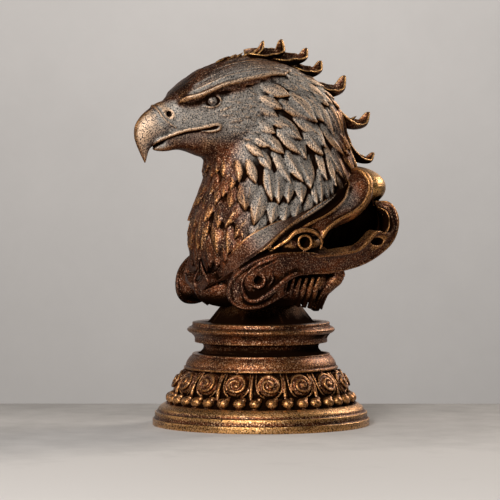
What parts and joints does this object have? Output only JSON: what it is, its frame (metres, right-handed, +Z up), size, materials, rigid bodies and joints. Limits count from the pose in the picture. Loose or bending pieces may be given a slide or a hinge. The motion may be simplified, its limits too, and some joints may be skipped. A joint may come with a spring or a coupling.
{
  "type": "eagle bust",
  "caption": "Eagle bust with a swept crest and a scrolled shawl, antique bronze finish, on a turned round plinth with a frieze of rosettes and beads.",
  "frame": {"origin": "centre of the plinth's round underside", "axes": "+Z up through the crest, the eagle faces -Y, its left side is +X"},
  "size_m": [0.1084, 0.136, 0.1932],
  "materials": {
    "antique_bronze": "dark antique bronze, brown in the hollows and rubbed to gold on the edges, fine cast grain",
    "gilt_bronze": "warm antique bronze, nearly black in the hollows and rubbed to gold on the rims, fine cast grain"
  },
  "bodies": {
    "root": {"eagle_bust": "antique_bronze", "plinth": "gilt_bronze"}
  },
  "joints": []
}
